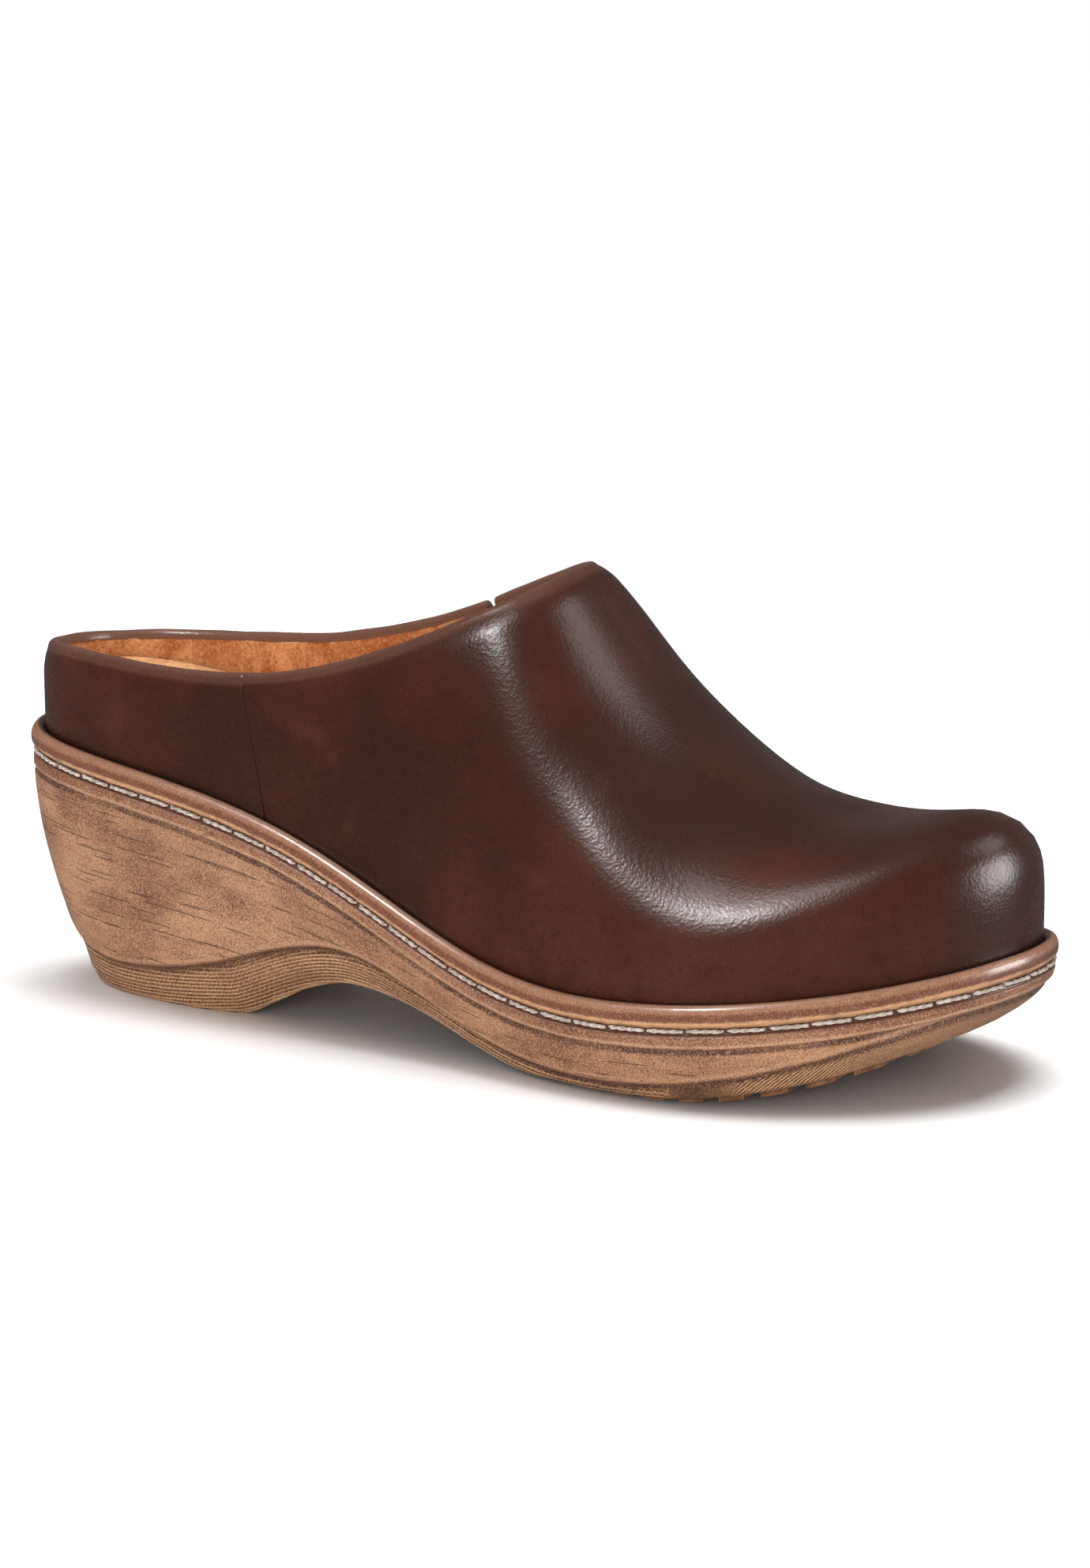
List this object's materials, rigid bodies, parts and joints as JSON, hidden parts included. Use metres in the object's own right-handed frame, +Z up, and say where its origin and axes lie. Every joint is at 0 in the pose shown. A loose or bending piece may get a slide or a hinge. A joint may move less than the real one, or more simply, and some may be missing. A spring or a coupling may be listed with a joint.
{
  "type": "wooden clog",
  "caption": "Backless clog for the right foot: smooth closed leather front and low heel band on a shaped, heeled wood-look sole with a stitched welt, lined, with a cushioned footbed.",
  "frame": {"origin": "on the ground plane, below the centre of the shoe's plan box", "axes": "+X towards the toe, +Y towards the inner (big-toe) side, +Z up"},
  "size_m": [0.2646, 0.1021, 0.1127],
  "materials": {
    "wood_effect": "satin",
    "tread_rubber": "matte",
    "top_lift": "matte",
    "welt_bead": "gloss",
    "thread": "matte",
    "steel": "satin",
    "cork": "matte",
    "fibre_board": "matte",
    "pad_foam": "matte",
    "footbed_foam": "matte",
    "footbed_suede": "matte",
    "brown_leather": "gloss",
    "stiffener": "matte",
    "tape": "matte",
    "elastic": "matte",
    "tan_suede": "matte"
  },
  "bodies": {
    "root": {"sole_unit": "wood_effect", "forepart_outsole": "tread_rubber", "heel_top_piece": "top_lift", "welt": "welt_bead", "welt_stitches": "thread", "shank": "steel", "forepart_filler": "cork", "insole_board": "fibre_board", "heel_pad": "pad_foam", "footbed_foam": "footbed_foam", "footbed_cover": "footbed_suede", "vamp": "brown_leather", "back_quarter": "brown_leather", "heel_counter": "stiffener", "toe_puff": "stiffener", "collar_foam": "pad_foam", "lateral_seam_tape": "tape", "medial_seam_tape": "tape", "gore_elastic": "elastic", "vamp_lining": "tan_suede", "quarter_lining": "tan_suede", "topline_binding": "brown_leather", "throat_binding": "brown_leather"}
  },
  "joints": []
}
